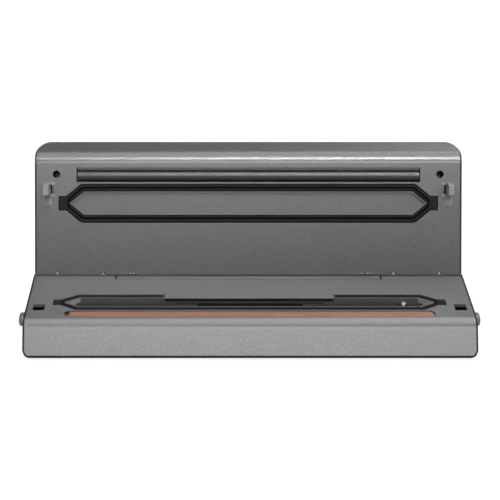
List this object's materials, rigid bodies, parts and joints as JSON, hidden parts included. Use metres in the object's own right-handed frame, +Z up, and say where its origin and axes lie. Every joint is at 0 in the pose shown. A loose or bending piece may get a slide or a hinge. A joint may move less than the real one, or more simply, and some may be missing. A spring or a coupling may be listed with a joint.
{
  "type": "vacuum sealer",
  "caption": "Table-top vacuum sealer: wide low base with chamber, gaskets and heated sealing strip, and a hinged lid that latches at both sides, shown open.",
  "frame": {"origin": "on the table, under the middle of the appliance's bounding box with the lid open", "axes": "+X across the appliance, to the right of a user in front of it; +Y to the back; +Z up"},
  "size_m": [0.3924, 0.179, 0.1368],
  "materials": {
    "dark_casing": "dark grey moulded, fine texture",
    "grey_moulding": "metallic grey, finely speckled satin",
    "gasket_foam": "black, matt",
    "seal_silicone": "black, satin",
    "heater_insulator": "dark brown insulator",
    "heater_wire": "flat resistance ribbon",
    "heater_tape": "copper-brown coated glass cloth",
    "terminal_brass": "plain",
    "port_steel": "polished",
    "hose": "translucent grey silicone",
    "motor_steel": "zinc plated",
    "plated_steel": "zinc plated",
    "pump_plastic": "glass-filled black",
    "valve_blue": "plain",
    "circuit_board": "green lacquer",
    "components": "black",
    "transformer_core": "varnished laminations",
    "sensor_white": "plain",
    "inlet_black": "plain",
    "contact_metal": "plain",
    "foot_rubber": "dark grey",
    "tray_grey": "dark grey, satin",
    "button_grey": "grey, satin",
    "latch_plastic": "black",
    "hook_grey": "grey, satin",
    "control_black": "glossy black",
    "led_green": "diffusing",
    "key_grey": "grey, satin"
  },
  "bodies": {
    "base": {"bottom_shell": "dark_casing", "deck_panel": "grey_moulding", "base_gasket": "gasket_foam", "heater_bar": "heater_insulator", "heating_wire": "heater_wire", "heater_tape": "heater_tape", "heater_terminals": "terminal_brass", "suction_port": "port_steel", "vacuum_hose": "hose", "pump_motor": "motor_steel", "pump_bracket": "plated_steel", "pump_head": "pump_plastic", "release_valve": "valve_blue", "main_board": "circuit_board", "board_components": "components", "transformer": "transformer_core", "pressure_sensor": "sensor_white", "power_inlet": "inlet_black", "inlet_pins": "contact_metal", "rubber_feet": "foot_rubber", "base_screws": "plated_steel", "lid_switches": "components"},
    "lid": {"lid_cover": "dark_casing", "lid_panel": "grey_moulding", "lid_gasket": "gasket_foam", "seal_bar": "seal_silicone", "latch_hook_left": "hook_grey", "latch_hook_right": "hook_grey", "hinge_pins": "plated_steel", "lid_screws": "plated_steel", "control_board": "circuit_board", "control_window": "control_black", "indicator_leds": "led_green"},
    "drip_tray_body": {"drip_tray": "tray_grey"},
    "pump_rotor": {"pump_crank": "plated_steel"},
    "button_left": {"release_button_left": "button_grey"},
    "button_right": {"release_button_right": "button_grey"},
    "catch_left": {"latch_catch_left": "latch_plastic"},
    "catch_right": {"latch_catch_right": "latch_plastic"},
    "key_seal_body": {"key_seal": "key_grey"},
    "key_vacuum_body": {"key_vacuum": "key_grey"},
    "key_marinate_body": {"key_marinate": "key_grey"},
    "key_mode_body": {"key_mode": "key_grey"}
  },
  "joints": [
    {"name": "lid_hinge", "type": "hinge", "parent": "base", "child": "lid", "pos_m": [0, 0.02743, 0.0328], "axis": [1, 0, 0], "range_deg": [0, 109.2]},
    {"name": "tray_lift", "type": "slide", "parent": "base", "child": "drip_tray_body", "axis": [0, 0, -1], "range_m": [-0.03, 0]},
    {"name": "pump_spin", "type": "hinge", "parent": "base", "child": "pump_rotor", "pos_m": [0, 0.00681, 0.0163], "axis": [1, 0, 0], "continuous": true},
    {"name": "button_left_press", "type": "slide", "parent": "base", "child": "button_left", "axis": [-1, 0, 0], "range_m": [-0.003, 0], "stiffness_N_per_m": 500},
    {"name": "catch_left_slide", "type": "slide", "parent": "base", "child": "catch_left", "axis": [-1, 0, 0], "range_m": [0, 0.003]},
    {"name": "button_right_press", "type": "slide", "parent": "base", "child": "button_right", "axis": [1, 0, 0], "range_m": [-0.003, 0], "stiffness_N_per_m": 500},
    {"name": "catch_right_slide", "type": "slide", "parent": "base", "child": "catch_right", "axis": [1, 0, 0], "range_m": [0, 0.003]},
    {"name": "key_seal_press", "type": "slide", "parent": "lid", "child": "key_seal_body", "axis": [0, 0.9444, -0.3289], "range_m": [-0.0008, 0], "stiffness_N_per_m": 600},
    {"name": "key_vacuum_press", "type": "slide", "parent": "lid", "child": "key_vacuum_body", "axis": [0, 0.9444, -0.3289], "range_m": [-0.0008, 0], "stiffness_N_per_m": 600},
    {"name": "key_marinate_press", "type": "slide", "parent": "lid", "child": "key_marinate_body", "axis": [0, 0.9444, -0.3289], "range_m": [-0.0008, 0], "stiffness_N_per_m": 600},
    {"name": "key_mode_press", "type": "slide", "parent": "lid", "child": "key_mode_body", "axis": [0, 0.9444, -0.3289], "range_m": [-0.0008, 0], "stiffness_N_per_m": 600}
  ]
}
